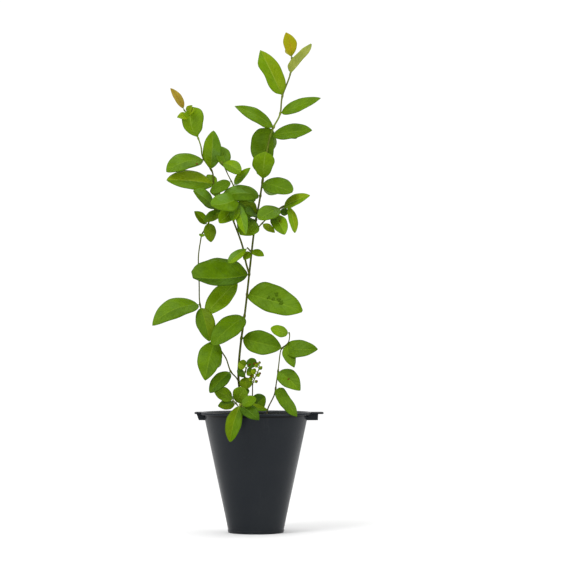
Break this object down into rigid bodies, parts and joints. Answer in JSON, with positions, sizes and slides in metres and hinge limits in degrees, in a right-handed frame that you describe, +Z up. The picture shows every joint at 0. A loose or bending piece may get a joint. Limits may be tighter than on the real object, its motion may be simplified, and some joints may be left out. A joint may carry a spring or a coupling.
{
  "type": "potted blueberry bush",
  "caption": "Young upright blueberry bush with leafy side shoots in a round tapered nursery pot that stands on its flat underside.",
  "frame": {"origin": "centre of the pot's flat underside, which is the level of what it stands on", "axes": "+Z up along the pot's axis; -Y towards the front, the side the picture shows; +X to the right as seen from the front"},
  "size_m": [0.1705, 0.1241, 0.4986],
  "materials": {
    "pot_plastic": "moulded, fine grain",
    "potting_mix": "rough, crumbly",
    "stem_bark": "smooth young bark",
    "leaf_green": "satin leaf"
  },
  "bodies": {
    "root": {"bud_leaf_1": "leaf_green", "bud_leaf_2": "leaf_green", "bud_spur": "leaf_green", "bud_stem": "stem_bark", "centre_shoot": "leaf_green", "foot_spray": "leaf_green", "front_tuft": "leaf_green", "left_head": "leaf_green", "left_leaf_1": "leaf_green", "left_leaf_2": "leaf_green", "left_leaf_3": "leaf_green", "left_leaf_4": "leaf_green", "left_leaf_5": "leaf_green", "left_leaf_6": "leaf_green", "left_leaf_7": "leaf_green", "left_stem": "stem_bark", "low_right_head": "leaf_green", "low_right_leaf_1": "leaf_green", "low_right_leaf_2": "leaf_green", "low_right_leaf_3": "leaf_green", "low_right_leaf_4": "leaf_green", "low_right_stem": "stem_bark", "main_leaf_1": "leaf_green", "main_leaf_10": "leaf_green", "main_leaf_11": "leaf_green", "main_leaf_12": "leaf_green", "main_leaf_2": "leaf_green", "main_leaf_3": "leaf_green", "main_leaf_4": "leaf_green", "main_leaf_5": "leaf_green", "main_leaf_6": "leaf_green", "main_leaf_7": "leaf_green", "main_leaf_8": "leaf_green", "main_leaf_9": "leaf_green", "main_stem": "stem_bark", "middle_spray": "leaf_green", "pot": "pot_plastic", "right_shoot": "leaf_green", "soil": "potting_mix", "top_shoot": "leaf_green", "upper_left_branch": "stem_bark", "upper_left_shoot": "leaf_green"}
  },
  "joints": []
}
